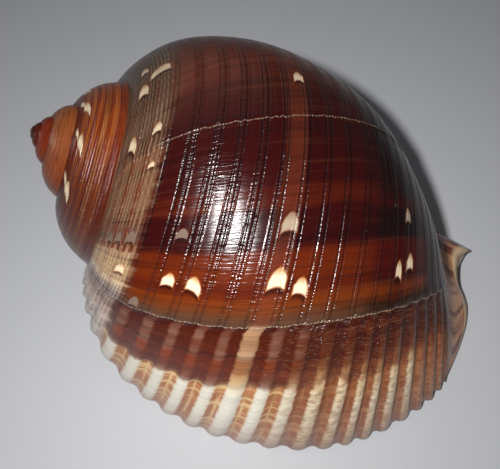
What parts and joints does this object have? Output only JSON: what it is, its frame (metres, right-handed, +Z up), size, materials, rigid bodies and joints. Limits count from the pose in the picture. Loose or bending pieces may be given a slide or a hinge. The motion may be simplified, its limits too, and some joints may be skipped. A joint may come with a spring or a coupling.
{
  "type": "tun shell",
  "caption": "Thin inflated sea-snail shell with low spire, spiral ribs, wide scalloped mouth and a notched siphonal end, lying on its mouth.",
  "frame": {"origin": "centre of the bounding box on X and Y, on the surface the shell lies on", "axes": "+Z up, +X from the spire's apex towards the siphonal end, -Y towards the free lip"},
  "size_m": [0.1058, 0.0868, 0.0671],
  "materials": {
    "shell": "glossy natural shell, red-brown with cream spots and tan ribs at the lip"
  },
  "bodies": {
    "root": {"shell": "shell"}
  },
  "joints": []
}
